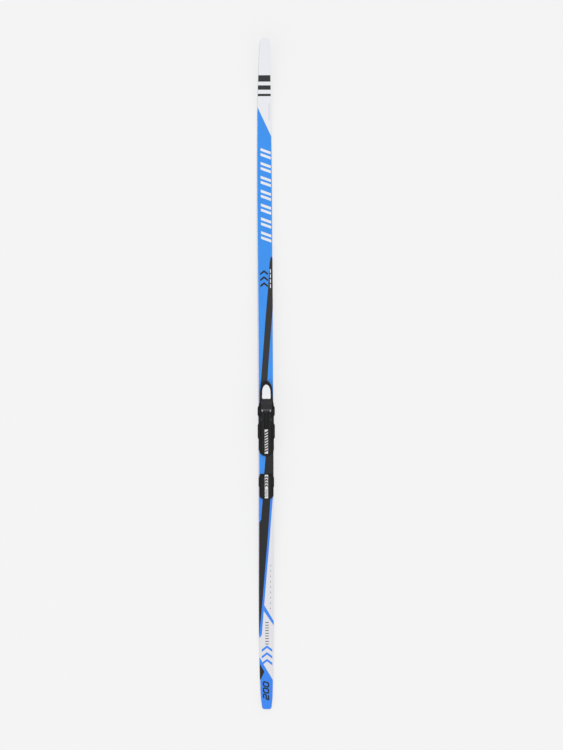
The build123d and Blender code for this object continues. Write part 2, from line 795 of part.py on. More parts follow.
with BuildPart() as flexor:
    low = slider_high + flexor_gap
    hood_low = claw_top + flexor_gap
    hood_high = hood_low + flexor_lip_thickness
    crest_rear = flexor_front - flexor_crest
    crest_height = flexor_top - flexor_crest_drop
    with BuildSketch(toe_side):
        with BuildLine():
            Polyline((flexor_lip, hood_low), (flexor_rear, hood_low), (flexor_rear, low), (flexor_front, low),
                     (flexor_front, flexor_top - flexor_round))
            ThreePointArc(
                (flexor_front, flexor_top - flexor_round), (flexor_front - flexor_crest / 2, flexor_top),
                (crest_rear, crest_height),
            )
            Polyline((crest_rear, crest_height), (flexor_lip, hood_high), (flexor_lip, hood_low))
        make_face()
        for n in range(flexor_grooves):
            share = n / flexor_grooves
            with Locations((
                crest_rear - (crest_rear - flexor_lip) * share,
                crest_height - (crest_height - hood_high) * share,
            )):
                Circle(flexor_groove, mode=Mode.SUBTRACT)
    extrude(amount=flexor_half, both=True)
    with BuildSketch(toe_plane) as flexor_plan:
        with Locations((0, (flexor_front + flexor_lip) / 2)):
            Rectangle(2 * flexor_half, flexor_front - flexor_lip)
        fillet(flexor_plan.vertices().group_by(Axis.Y)[0], flexor_corner)
    extrude(amount=2 * flexor_top, mode=Mode.INTERSECT)
    with BuildSketch(toe_plane.offset(floor_height)):
        with Locations((0, (flexor_front + flexor_rear) / 2)):
            Rectangle(2 * flexor_foot_half, flexor_front - flexor_rear - 2 * flexor_foot_inset)
    extrude(amount=low - floor_height)
    # room for the claws, under the hood
    for side in (-1, 1):
        with BuildSketch(toe_plane.offset(floor_height)):
            with Locations((side * (saddle_half + flexor_half + overcut) / 2, flexor_notch / 2)):
                Rectangle(flexor_half + overcut - saddle_half, flexor_notch)
        extrude(amount=hood_low - floor_height, mode=Mode.SUBTRACT)
flexor.part.label = "flexor"

with BuildPart() as toe_bar_saddle:
    with BuildSketch(toe_plane.offset(slot_floor - saddle_thickness)):
        Rectangle(2 * saddle_half, slot_width + 2 * saddle_thickness)
    extrude(amount=saddle_height - slot_floor + saddle_thickness)
    with BuildSketch(toe_plane.offset(slot_floor)):
        Rectangle(2 * saddle_half, slot_width)
    extrude(amount=saddle_height, mode=Mode.SUBTRACT)
toe_bar_saddle.part.label = "toe_bar_saddle"

with BuildPart() as toe_channel_strip:
    with BuildSketch(toe_plane.offset(floor_height)):
        with Locations((0, (strip_front + strip_rear) / 2)):
            RectangleRounded(2 * strip_half, strip_front - strip_rear, 1)
    extrude(amount=strip_thickness)
toe_channel_strip.part.label = "toe_channel_strip"

with BuildPart() as heel_plate:
    with BuildSketch(heel_plane.offset(-plate_root)) as heel_plan:
        with BuildLine():
            heel_plan_lines()
        make_face()
        steps = heel_plan.vertices().filter_by(lambda v: abs(v.X) > ridge_outer and v.Y > heel_sides[-1][1])
        fillet(steps, corner_round)
    extrude(amount=plate_root + floor_height)
    for side in (-1, 1):
        with BuildSketch(heel_plane.offset(floor_height)) as heel_ridge_plan:
            with Locations((side * (ridge_inner + ridge_outer) / 2, 0)):
                Rectangle(ridge_outer - ridge_inner, heel_length - 2 * heel_ridge_gap)
            fillet(heel_ridge_plan.vertices(), ridge_end_radius)
        extrude(amount=ridge_height - floor_height)
    crowns = heel_plate.faces().group_by(Axis(heel_plane.origin, heel_plane.z_dir))[-1]
    fillet(crowns.edges(), ridge_round)
    countersunk_holes(heel_plane, heel_screw_uv)
    add(under_top.part, mode=Mode.SUBTRACT)
heel_plate.part.label = "heel_plate"

with BuildPart() as heel_channel_strip:
    with BuildSketch(heel_plane.offset(floor_height)):
        RectangleRounded(2 * strip_half, heel_length - 2 * heel_strip_gap, 1)
    extrude(amount=strip_thickness)
heel_channel_strip.part.label = "heel_channel_strip"

with BuildPart() as wood_screw:
    with BuildSketch(Plane.XZ):
        with BuildLine():
            neck = screw_head_radius - screw_radius
            Polyline(
                (0, 0), (screw_head_radius, 0), (screw_radius, -neck),
                (screw_radius, -floor_height - screw_depth + screw_point), (0, -floor_height - screw_depth),
                close=True,
            )
        make_face()
    revolve(axis=Axis.Z)
    with BuildSketch(Plane.XY):
        Rectangle(drive_length, drive_width)
        Rectangle(drive_width, drive_length)
    extrude(amount=-drive_depth, mode=Mode.SUBTRACT)


def screw_group(label, plane, spots):
    with BuildPart() as group:
        for u, v in spots:
            add(wood_screw.part.moved(plane.offset(floor_height).location * Location((u, v, 0))))
    group.part.label = label
    return group.part


toe_screws = screw_group("toe_screws", toe_plane, toe_screw_uv)
heel_screws = screw_group("heel_screws", heel_plane, heel_screw_uv)


pieces = [running_base.part, lower_laminate.part, wood_core.part, tip_spacer.part, tail_spacer.part,
          sidewall_left, sidewall_right, upper_laminate.part, top_sheet.part, binding_base.part,
          toe_housing.part, press_plate.part, press_plate_pin.part, claw_slider.part, claw_springs.part,
          flexor.part, toe_bar_saddle.part, toe_channel_strip.part, heel_plate.part,
          heel_channel_strip.part, toe_screws, heel_screws]
for piece in pieces:
    export_step(piece, "parts/" + piece.label + ".step")
    print(piece.label, round(piece.volume), len(piece.solids()), piece.is_valid)
print("seat", round(seat_z, 3), "heel", round(heel_front_z, 3), round(heel_rear_z, 3))
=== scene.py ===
import math

import bmesh
import bpy
import numpy as np
from mathutils import Matrix, Vector


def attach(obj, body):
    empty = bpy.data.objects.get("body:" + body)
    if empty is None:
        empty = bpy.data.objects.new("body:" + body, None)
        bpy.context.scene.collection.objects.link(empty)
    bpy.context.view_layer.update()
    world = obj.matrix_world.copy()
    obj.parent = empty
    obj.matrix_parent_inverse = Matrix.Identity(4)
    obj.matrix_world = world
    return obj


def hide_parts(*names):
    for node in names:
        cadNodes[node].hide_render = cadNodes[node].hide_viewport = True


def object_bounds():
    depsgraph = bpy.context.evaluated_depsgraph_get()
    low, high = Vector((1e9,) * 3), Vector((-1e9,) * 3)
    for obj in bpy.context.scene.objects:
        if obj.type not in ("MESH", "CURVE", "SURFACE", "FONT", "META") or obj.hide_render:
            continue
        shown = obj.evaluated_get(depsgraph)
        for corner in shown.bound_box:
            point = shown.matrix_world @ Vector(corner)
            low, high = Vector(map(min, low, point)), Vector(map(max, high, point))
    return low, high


# Cross country touring ski with a step-in toe-bar binding. Lengths are typed in millimetres and scaled by mm.
# X is across the ski, +Y runs to the tip, +Z is up, as in the frame.
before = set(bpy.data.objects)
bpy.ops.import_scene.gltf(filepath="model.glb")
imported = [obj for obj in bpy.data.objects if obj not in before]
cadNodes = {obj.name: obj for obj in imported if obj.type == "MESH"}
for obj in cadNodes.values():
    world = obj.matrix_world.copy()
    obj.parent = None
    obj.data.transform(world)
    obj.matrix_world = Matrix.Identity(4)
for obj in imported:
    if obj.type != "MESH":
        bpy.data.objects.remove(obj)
cadLow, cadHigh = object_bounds()
mm = 0.001
print("frame loaded:", len(cadNodes), "nodes")

studio = {
    "background": (244, 244, 244),
    "floorGlow": 0.8,  # share of the floor's brightness that is its own, as on a light table
    "skyStrength": 0.77,
    "keyStrength": 0.45,
    "keySize": 14.0,
    "keyPlace": (-2.5, -1.5, 9.0),
    "keyGain": 1.35,
    "floorHalf": 60.0,
    "floorDrop": 0.0005,  # the floor is a hair below the sole
    "lens": 400.0,
    "aim": (0.0488, -0.0040, 0.0),
    "framedHeight": 2.2376,
    "leanDegrees": 3.0,  # the view leans to the left flank by this much from straight down
    "rollDegrees": -0.246,
}

# ---- the ski's own shape, as functions of y in millimetres ----
ski = {
    "tipY": round(cadHigh.y / mm, 1),
    "tailY": round(cadLow.y / mm, 1),
    "halfWidth": 23.1,
    "flankSlope": 0.055,
    "tipTaper": (400.0, 8.6, 2.9),  # start, amount, power
    "tailTaper": (-550.0, 6.0, 3.0),
    "noseRadius": 15.0,
    "tailSide": (50.0, 1.9, 13.4, 3.5),  # run, bow, end half width, corner radius
    "tipCurve": (300.0, 62.0),  # length, rise
    "tailCurve": (130.0, 9.0),
    "camber": (21.0, -105.0, 695.0),  # height, middle, half length
    "waist": (26.0, -165.0),  # thickness, place
    "endThickness": (6.2, 5.6),  # tail, tip
    "thicknessPowers": (2.4, 2.2),
    "thinLength": (60.0, 120.0),  # the thin stretches at tail and tip
    "sheet": 0.8,
    "edgeRound": 0.6,
}


def colour(r, g, b):
    # 8-bit display values to linear light
    c = np.array([r, g, b]) / 255.0
    lin = np.where(c <= 0.04045, c / 12.92, ((c + 0.055) / 1.055) ** 2.4)
    return (*[float(v) for v in lin], 1.0)


def soleHalf(y):
    # parallel in the middle, drawn in by a power law towards each end
    start, amount, power = ski["tipTaper"]
    ahead = np.clip((y - start) / (ski["tipY"] - start), 0, 1)
    tailStart, tailAmount, tailPower = ski["tailTaper"]
    behind = np.clip((tailStart - y) / (tailStart - ski["tailY"]), 0, 1)
    return ski["halfWidth"] - amount * ahead**power - tailAmount * behind**tailPower


def soleHeight(y):
    # circular arcs at the tip and tail, (1 - u^2)^2 camber between the contacts
    height, middle, half = ski["camber"]
    u = (y - middle) / half
    z = height * np.clip(1 - u**2, 0, None) ** 2
    for (length, rise), run in (
        (ski["tipCurve"], y - (ski["tipY"] - ski["tipCurve"][0])),
        (ski["tailCurve"], ski["tailY"] + ski["tailCurve"][0] - y),
    ):
        radius = (length**2 + rise**2) / (2 * rise)
        run = np.clip(run, 0, length)
        z = z + radius - np.sqrt(radius**2 - run**2)
    return z


def thickness(y):
    # end + (waist - end) * (1 - s^a)^b, s running from the waist to just short of each end
    waist, place = ski["waist"]
    tail, tip = ski["endThickness"]
    a, b = ski["thicknessPowers"]
    tailThin, tipThin = ski["thinLength"]
    ahead = np.clip((y - place) / (ski["tipY"] - tipThin - place), 0, 1)
    behind = np.clip((place - y) / (place - ski["tailY"] - tailThin), 0, 1)
    end = np.where(y > place, tip, tail)
    s = np.where(y > place, ahead, behind)
    return end + (waist - end) * (1 - s**a) ** b


def topHeight(y):
    return soleHeight(y) + thickness(y)


def topHalf(y):
    # the flanks lean in, the nose is a circle and the tail a bowed side with a round corner
    half = soleHalf(y) - ski["flankSlope"] * thickness(y)
    r = ski["noseRadius"]
    past = np.clip(y - (ski["tipY"] - r), 0, r)
    half = np.minimum(half, np.where(past > 0, np.sqrt(r**2 - past**2), half))
    run, bow, endHalf, corner = ski["tailSide"]
    start = soleHalf(np.array(ski["tailY"] + run))
    t = np.clip((ski["tailY"] + run - y) / run, 0, 1)
    drop = start - endHalf
    plan = start - (4 * bow - drop) * t - (2 * drop - 4 * bow) * t**2
    into = np.clip(ski["tailY"] + corner - y, 0, corner)
    plan = plan - corner + np.sqrt(corner**2 - into**2)
    return np.where(t > 0, np.minimum(half, plan), half)


def meshPiece(name, vertices, faces, smooth=True):
    mesh = bpy.data.meshes.new(name)
    mesh.from_pydata((np.asarray(vertices) * mm).tolist(), [], faces)
    mesh.update()
    if smooth:
        mesh.polygons.foreach_set("use_smooth", np.ones(len(mesh.polygons), bool))
    piece = bpy.data.objects.new(name, mesh)
    bpy.context.scene.collection.objects.link(piece)
    return piece


def gridFaces(rows, columns, first=0, closed=False):
    # quads between neighbouring rows and columns, counted from the vertex `first`
    across = columns if closed else columns - 1
    i, j = np.meshgrid(np.arange(rows - 1), np.arange(across), indexing="ij")
    a = first + i * columns + j
    b = first + i * columns + (j + 1) % columns
    return np.stack([a, b, b + columns, a + columns], -1).reshape(-1, 4)


def gridsPiece(name, grids):
    # every grid is an array rows x columns x 3 seen from above, wound so that it faces up
    vertices, faces, first = [], [], 0
    for grid in grids:
        rows, columns = grid.shape[:2]
        quads = gridFaces(rows, columns, first)
        flat = grid.reshape(-1, 3)
        a, b, d = (flat[quads[len(quads) // 2][k] - first] for k in (0, 1, 3))
        if np.cross(b - a, d - a)[2] < 0:
            quads = quads[:, ::-1]
        vertices.append(flat)
        faces.append(quads)
        first += len(flat)
    return meshPiece(name, np.concatenate(vertices), np.concatenate(faces).tolist())


# ---- materials ----


def plainMaterial(name, base, roughness, specular=0.5, metallic=0.0):
    material = bpy.data.materials.new(name)
    material.use_nodes = True
    shader = material.node_tree.nodes["Principled BSDF"]
    shader.inputs["Base Color"].default_value = base
    shader.inputs["Roughness"].default_value = roughness
    shader.inputs["Specular IOR Level"].default_value = specular
    shader.inputs["Metallic"].default_value = metallic
    return material


def noise(material, stretch, detail=3.0, rough=0.5):
    # noise on object coordinates; stretch is how many cells a metre holds along x, y and z
    tree = material.node_tree
    coords = tree.nodes.new("ShaderNodeTexCoord")
    mapping = tree.nodes.new("ShaderNodeMapping")
    mapping.inputs["Scale"].default_value = stretch
    texture = tree.nodes.new("ShaderNodeTexNoise")
    texture.inputs["Scale"].default_value = 1.0
    texture.inputs["Detail"].default_value = detail
    texture.inputs["Roughness"].default_value = rough
    tree.links.new(coords.outputs["Object"], mapping.inputs["Vector"])
    tree.links.new(mapping.outputs["Vector"], texture.inputs["Vector"])
    return texture.outputs["Fac"]


def ranged(material, value, low, high, start=0.35, end=0.65):
    tree = material.node_tree
    node = tree.nodes.new("ShaderNodeMapRange")
    node.inputs["From Min"].default_value = start
    node.inputs["From Max"].default_value = end
    node.inputs["To Min"].default_value = low
    node.inputs["To Max"].default_value = high
    tree.links.new(value, node.inputs["Value"])
    return node.outputs["Result"]


def tinted(material, value, dark, light, start=0.3, end=0.7):
    # base colour from dark to light as value goes from start to end
    tree = material.node_tree
    ramp = tree.nodes.new("ShaderNodeValToRGB")
    ramp.color_ramp.elements[0].position = start
    ramp.color_ramp.elements[0].color = dark
    ramp.color_ramp.elements[1].position = end
    ramp.color_ramp.elements[1].color = light
    tree.links.new(value, ramp.inputs["Fac"])
    shader = tree.nodes["Principled BSDF"]
    tree.links.new(ramp.outputs["Color"], shader.inputs["Base Color"])


def rougher(material, value, low, high):
    shader = material.node_tree.nodes["Principled BSDF"]
    material.node_tree.links.new(ranged(material, value, low, high), shader.inputs["Roughness"])


def bumped(material, value, strength, depth):
    tree = material.node_tree
    bump = tree.nodes.new("ShaderNodeBump")
    bump.inputs["Strength"].default_value = strength
    bump.inputs["Distance"].default_value = depth * mm
    tree.links.new(value, bump.inputs["Height"])
    tree.links.new(bump.outputs["Normal"], tree.nodes["Principled BSDF"].inputs["Normal"])


def shade(base, factor):
    return (*[min(1.0, c * factor) for c in base[:3]], 1.0)


def filmMaterial(name, base):
    # printed polyamide film under a clear skin: slight mottle, soft orange peel, faint scuffs along the ski
    material = plainMaterial(name, base, 0.32, specular=0.2)
    tinted(material, noise(material, (60, 18, 60), 4), shade(base, 0.965), shade(base, 1.03))
    rougher(material, noise(material, (900, 22, 900), 5, 0.6), 0.24, 0.42)
    bumped(material, noise(material, (420, 300, 420), 2), 0.12, 0.05)
    shader = material.node_tree.nodes["Principled BSDF"]
    shader.inputs["Coat Weight"].default_value = 0.15
    shader.inputs["Coat Roughness"].default_value = 0.12
    return material


def sheetMaterial(name, front, rear):
    # the white film of the top sheet, a little greyer from the foot back to the tail
    material = filmMaterial(name, front)
    tree = material.node_tree
    coords = tree.nodes.new("ShaderNodeTexCoord")
    axes = tree.nodes.new("ShaderNodeSeparateXYZ")
    tree.links.new(coords.outputs["Object"], axes.inputs["Vector"])
    tinted(material, ranged(material, axes.outputs["Y"], 0, 1, -0.35, -0.1), rear, front, 0, 1)
    return material


def planedMaterial(name, base):
    # plastic planed lengthwise, with fine streaks
    material = plainMaterial(name, base, 0.45, specular=0.4)
    streaks = noise(material, (2600, 14, 2600), 5, 0.65)
    tinted(material, streaks, shade(base, 0.93), shade(base, 1.03))
    rougher(material, streaks, 0.36, 0.58)
    bumped(material, streaks, 0.25, 0.03)
    return material


def mouldedMaterial(name, base, roughness=0.5, specular=0.3, grain=3200, mottle=0.25):
    # injection moulded plastic with a spark-eroded grain and slightly worn, paler patches
    material = plainMaterial(name, base, roughness, specular=specular)
    patches = noise(material, (160, 120, 160), 5, 0.6)
    tinted(material, patches, shade(base, 1 - mottle), shade(base, 1 + mottle))
    rougher(material, noise(material, (300, 240, 300), 4), roughness - 0.1, roughness + 0.12)
    bumped(material, noise(material, (grain, grain, grain), 2), 0.35, 0.05)
    return material


def metalMaterial(name, base, roughness, brushed):
    material = plainMaterial(name, base, roughness, metallic=1.0)
    marks = noise(material, brushed, 4, 0.6)
    tinted(material, marks, shade(base, 0.82), shade(base, 1.08))
    rougher(material, marks, roughness - 0.08, roughness + 0.14)
    bumped(material, marks, 0.2, 0.03)
    return material


def laminateMaterial(name, base):
    # glass cloth in resin: two crossed sets of rovings
    material = plainMaterial(name, base, 0.4, specular=0.45)
    tinted(material, noise(material, (900, 260, 900), 3), shade(base, 0.78), shade(base, 1.15))
    bumped(material, noise(material, (1500, 500, 1500), 3), 0.3, 0.05)
    return material


def woodMaterial(name, base):
    # light wood staves: long grain with darker lines
    material = plainMaterial(name, base, 0.6, specular=0.3)
    grain = noise(material, (420, 5, 420), 6, 0.6)
    tinted(material, grain, shade(base, 0.6), shade(base, 1.1))
    bumped(material, grain, 0.3, 0.1)
    return material


def soleMaterial(name, base):
    # ground polyethylene: stone-ground lines along the ski
    material = plainMaterial(name, base, 0.38, specular=0.4)
    lines = noise(material, (3200, 10, 400), 4, 0.6)
    tinted(material, lines, shade(base, 0.75), shade(base, 1.35))
    rougher(material, lines, 0.3, 0.5)
    bumped(material, lines, 0.4, 0.04)
    return material


tones = {
    "white": colour(232, 233, 238),
    "paleWhite": colour(223, 222, 227),
    "blue": colour(52, 144, 238),
    "deepBlue": colour(50, 132, 238),
    "black": colour(40, 40, 43),
    "deepBlack": colour(22, 22, 24),
    "grey": colour(206, 208, 214),
    "markGrey": colour(140, 142, 148),
    # the sidewalls' pale violet grey is the white flank as it looks in shade: painted shade, given to both
    # sidewalls
    "flank": colour(212, 212, 234),
    "sole": colour(30, 31, 34),
    "laminate": colour(196, 190, 160),
    "wood": colour(205, 170, 120),
    "spacer": colour(60, 62, 68),
    "binding": colour(23, 23, 24),
    "rubber": colour(48, 48, 50),
    # the hood lip's pale grey stands for a worn rear edge and the light it catches: partly wear, partly
    # painted highlight
    "hoodLip": colour(128, 128, 131),
    "press": colour(236, 238, 242),
    "strip": colour(242, 242, 244),
    "steel": colour(205, 207, 210),
    "clawSteel": colour(150, 151, 154),
    "darkSteel": colour(58, 59, 62),
}

finishes = {
    "sheet": sheetMaterial("whiteSheet", tones["white"], tones["paleWhite"]),
    "white": filmMaterial("whiteFilm", tones["white"]),
    "blue": filmMaterial("blueFilm", tones["blue"]),
    "deepBlue": filmMaterial("deepBlueFilm", tones["deepBlue"]),
    "black": filmMaterial("blackFilm", tones["black"]),
    "deepBlack": filmMaterial("deepBlackFilm", tones["deepBlack"]),
    "grey": filmMaterial("greyFilm", tones["grey"]),
    "markGrey": filmMaterial("markGreyFilm", tones["markGrey"]),
    # the sidewall finish carries painted shade: its colour is the flank's shaded look, not its own white
    "flank": planedMaterial("planedSidewallPaintedShade", tones["flank"]),
    "sole": soleMaterial("groundSole", tones["sole"]),
    "laminate": laminateMaterial("glassLaminate", tones["laminate"]),
    "wood": woodMaterial("coreWood", tones["wood"]),
    "spacer": mouldedMaterial("spacerPlastic", tones["spacer"]),
    "binding": mouldedMaterial("bindingPlastic", tones["binding"], 0.5, 0.2),
    "rubber": mouldedMaterial("flexorRubber", tones["rubber"], 0.68, 0.2, 4200),
    # hood lip finish: partly wear, partly painted highlight
    "hoodLip": mouldedMaterial("hoodLipWearAndHighlight", tones["hoodLip"], 0.6, 0.25, 4200, 0.12),
    "press": mouldedMaterial("pressPlastic", tones["press"], 0.34, 0.3, 2400, 0.025),
    "strip": filmMaterial("stripFilm", tones["strip"]),
    "steel": metalMaterial("brightSteel", tones["steel"], 0.28, (900, 3600, 900)),
    "clawSteel": metalMaterial("clawSteel", tones["clawSteel"], 0.36, (900, 3600, 900)),
    "darkSteel": metalMaterial("blackenedSteel", tones["darkSteel"], 0.42, (2600, 2600, 2600)),
}
print("materials made:", len(finishes))


def finishPiece(piece, finish, body="ski", node=None):
    piece.data.materials.clear()
    piece.data.materials.append(finishes[finish])
    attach(piece, body)
    if node:
        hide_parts(node)
    return piece


def finishNode(name, finish):
    for index in range(len(cadNodes[name].material_slots)):
        cadNodes[name].material_slots[index].link = "OBJECT"
        cadNodes[name].material_slots[index].material = finishes[finish]


# ---- top sheet ----


def sheetRows():
    # rows along the ski, close together at both ends
    tail = ski["tailY"] + 3.6 * (1 - np.cos(np.linspace(0, np.pi / 2, 10)))
    middle = np.linspace(ski["tailY"] + 6, ski["tipY"] - ski["noseRadius"], 400)
    nose = ski["tipY"] - ski["noseRadius"] * (1 - np.sin(np.linspace(0.08, 1.52, 24)))
    return np.concatenate([tail, middle, nose])


def topSheetPiece():
    # at each y a closed section: flat top with quarter-round edges, flanks leaning out, flat underside
    y = sheetRows()
    half, top = topHalf(y), topHeight(y)
    r, depth = ski["edgeRound"], ski["sheet"]
    turn = np.linspace(0, np.pi / 2, 5)
    inner = np.linspace(-1, 1, 11)[1:-1]
    edge = np.minimum(r, half * 0.45)[:, None]
    left = -half[:, None] + edge * (1 - np.cos(turn))
    middle = (half[:, None] - edge) * inner
    right = (half[:, None] - edge) + edge * np.cos(turn[::-1])
    x = np.concatenate([left, middle, right], 1)
    rise = edge * (np.sin(turn) - 1)
    z = top[:, None] + np.concatenate([rise, np.zeros_like(middle), rise[:, ::-1]], 1)
    foot = half[:, None] + ski["flankSlope"] * depth
    x = np.concatenate([x, foot, -foot], 1)
    low = top[:, None] - depth
    z = np.concatenate([z, low, low], 1)
    columns = x.shape[1]
    vertices = np.stack([x, np.repeat(y[:, None], columns, 1), z], -1).reshape(-1, 3)
    faces = gridFaces(len(y), columns, closed=True)[:, ::-1].tolist()
    faces.append(list(range(columns)))
    faces.append(list(range(len(vertices) - 1, len(vertices) - columns - 1, -1)))
    return meshPiece("topSheet", vertices, faces)


def outward(piece, sharp=35):
    # merged, faces turned outwards, smooth but for edges sharper than this angle
    shape = bmesh.new()
    shape.from_mesh(piece.data)
    bmesh.ops.remove_doubles(shape, verts=shape.verts, dist=0.002 * mm)
    bmesh.ops.recalc_face_normals(shape, faces=shape.faces)
    shape.to_mesh(piece.data)
    shape.free()
    piece.data.set_sharp_from_angle(angle=math.radians(sharp))
    return piece


finishPiece(outward(topSheetPiece()), "sheet", node="top_sheet")
print("top sheet made")

# ---- printed graphics, laid on the top sheet ----


def lay(x, y, lift):
    # a point at x, y on the top sheet, following its round edges, raised by lift
    half = topHalf(y)
    r = ski["edgeRound"]
    past = np.clip(np.abs(x) - (half - r), 0, r)
    z = topHeight(y) - r + np.sqrt(r**2 - past**2)
    return np.stack([x, y, z + lift], -1)


def field(left, right, lift, step=5.0):
    # a printed field between two edges, each a list of (y, x) joined by straight lines; cut at the ski's rim
    left, right = np.array(left, float), np.array(right, float)
    low = max(left[:, 0].min(), right[:, 0].min())
    high = min(left[:, 0].max(), right[:, 0].max())
    ends = np.concatenate([left[:, 0], right[:, 0]])
    y = np.unique(np.concatenate([np.linspace(low, high, 2 + int((high - low) / step)), ends]))
    y = y[(y >= low) & (y <= high)]
    half = topHalf(y)
    a = np.clip(np.interp(y, *left[left[:, 0].argsort()].T), -half, half)
    b = np.clip(np.interp(y, *right[right[:, 0].argsort()].T), -half, half)
    b = np.maximum(b, a + 0.02)
    share = (1 - np.cos(np.linspace(0, np.pi, 19))) / 2
    x = a[:, None] + (b - a)[:, None] * share
    return lay(x, np.repeat(y[:, None], len(share), 1), lift)


def quad(corners, lift, rows=8, columns=17):
    # a printed four-sided mark; corners run round it, each (x, y); it stops at the ski's edges
    p = np.array(corners, float)
    u = np.linspace(0, 1, rows)[:, None]
    a, b = (1 - u) * p[0] + u * p[3], (1 - u) * p[1] + u * p[2]
    half = topHalf((a + b)[:, 1] / 2)
    span = (b - a)[:, 0]
    ends = np.clip(np.stack([-half - a[:, 0], half - a[:, 0]]) / span, 0, 1)
    share = (1 - np.cos(np.linspace(0, np.pi, columns))) / 2
    v = (ends[0][:, None] + (ends[1] - ends[0])[:, None] * share)[..., None]
    at = a[:, None] * (1 - v) + b[:, None] * v
    half = topHalf(at[..., 1])
    return lay(np.clip(at[..., 0], -half, half), at[..., 1], lift)


def bar(x0, x1, y0, y1, width, lift):
    # a straight stroke from (x0, y0) to (x1, y1), its width measured along the ski
    h = width / 2
    return quad([(x0, y0 - h), (x1, y1 - h), (x1, y1 + h), (x0, y0 + h)], lift, 6)


edge = 40.0  # wider than the ski, so a field stops at its edge
prints = {
    "upperBlue": {
        "tone": "blue",
        "lift": 0.03,
        "fields": [
            ([(794, -edge), (-345, -edge)], [(794, -19.5), (706, 21.8), (690, edge), (-345, edge)]),
        ],
    },
    "blackBand": {
        "tone": "black",
        "lift": 0.06,
        "fields": [
            (
                [(350, 17.2), (332, 13.4), (257, 8.2), (160, -0.6), (40, -10.0), (-5, -13.6), (-95, -21)],
                [(350, 17.8), (341, edge), (200, 22.5), (160, 18.4), (99, 13.3), (40, 8.4), (-5, 5.2),
                 (-95, -2)],
            ),
        ],
    },
    "lowerBand": {
        "tone": "deepBlack",
        "lift": 0.06,
        "fields": [
            (
                [(-130, 8), (-244, -1.8), (-298, -6.4), (-378, -11.3), (-436, -15.9), (-462, -edge),
                 (-776, -edge)],
                [(-130, edge), (-320, edge), (-330, 16.4), (-378, 11.8), (-438, 7.8), (-498, 3.3),
                 (-557, -1.7), (-617, -6.7), (-677, -11.6), (-776, -20.6)],
            ),
            # dark triangle on the tail field
            ([(-864, -edge), (-912, -edge)], [(-864, -20.6), (-889, -6.6), (-912, -17.4)]),
        ],
    },
    "lowerBlue": {
        "tone": "deepBlue",
        "lift": 0.03,
        "slash": {"corners": [(-6.2, -690), (21.9, -738), (21.9, -750.5), (-7.6, -708)], "lift": 0.035},
        "fields": [
            ([(-345, -edge), (-470, -edge)], [(-345, -9), (-436, -15.7), (-470, -19)]),
            (
                [(-345, 14.8), (-378, 11.5), (-438, 7.5), (-498, 3.0), (-557, -2.0), (-617, -7.0),
                 (-677, -11.9), (-770, -20.3), (-790, -edge)],
                [(-345, 22), (-378, 18.6), (-438, 13.9), (-498, 9.5), (-557, 4.5), (-617, -0.5), (-677, -5.4),
                 (-778, -13.6), (-790, -21.2)],
            ),
            # tail field
            ([(-844, -edge), (-1000, -edge)],
             [(-844, -20.7), (-861, -12.2), (-915, 19.7), (-922, edge), (-1000, edge)]),
        ],
    },
}
for name, part in prints.items():
    grids = [field(left, right, part["lift"]) for left, right in part["fields"]]
    if "slash" in part:
        grids.append(quad(part["slash"]["corners"], part["slash"]["lift"], 8, 16))
    finishPiece(gridsPiece(name, grids), part["tone"])

markLift = 0.09  # marks lie above every field
marks = {
    "tipBars": {"tone": "black", "x": (-22, 22), "y": (880, 853, 831), "thick": (19, 13, 7)},
    "stripes": {"tone": "white", "from": 396, "to": 668, "inset": 12, "count": 7, "thick": 8.0, "gap": 15.0,
                "slant": 11.0, "x": (-11.5, 19.0)},
    "chevrons": {"tone": "deepBlack", "y": (301, 283, 265), "x": (-15.0, -3.6, 7.8), "rise": 9.0,
                 "thick": 6.6},
    "wedgeDashes": {"tone": "white", "y": (306, 291, 276, 261), "x": (14.0, 16.6), "long": 11.0},
    "tailChevrons": {"tone": "deepBlue", "y": (-820, -840, -860), "x": (-14.2, 1.6, 17.4), "rise": 12.0,
                     "thick": 7.4},
    "scale": {"tone": "deepBlack", "from": -806, "to": -742, "count": 9, "x": (-3.2, 6.8), "thick": 2.2},
    "sideDots": {"tone": "markGrey", "from": -700, "to": -572, "count": 9, "x": (11.2, 13.4), "thick": 4.0},
    "hairline": {"tone": "grey", "y": (755, 806), "x": (13.6, 15.4)},
}


def chevron(spec, y, lift):
    # two strokes that meet at the middle x, pointing to the tip
    a, b, c = spec["x"]
    rise, thick = spec["rise"], spec["thick"]
    low, high = y - rise / 2, y + rise / 2
    return [bar(a, b, low, high, thick, lift), bar(b, c, high, low, thick, lift)]


def markGrids(name, spec, lift):
    if name == "tipBars":
        a, b = spec["x"]
        return [bar(a, b, y, y, t, lift) for y, t in zip(spec["y"], spec["thick"])]
    if name == "stripes":
        a, b = spec["x"]
        places = np.linspace(spec["from"] + spec["inset"], spec["to"] - spec["inset"], spec["count"])
        s = spec["slant"] / 2
        offsets = (-spec["gap"] / 2, spec["gap"] / 2)
        return [bar(a, b, y + o + s, y + o - s, spec["thick"], lift) for y in places for o in offsets]
    if name in ("chevrons", "tailChevrons"):
        return [grid for y in spec["y"] for grid in chevron(spec, y, lift)]
    if name == "wedgeDashes":
        a, b = spec["x"]
        return [bar(a, b, y, y, spec["long"], lift) for y in spec["y"]]
    if name in ("scale", "sideDots"):
        a, b = spec["x"]
        places = np.linspace(spec["from"], spec["to"], spec["count"])
        return [bar(a, b, y, y, spec["thick"], lift) for y in places]
    a, b = spec["x"]
    low, high = spec["y"]
    return [quad([(a, low), (b, low), (b, high), (a, high)], lift, 16, 4)]


for name, spec in marks.items():
    finishPiece(gridsPiece(name, markGrids(name, spec, markLift)), spec["tone"])


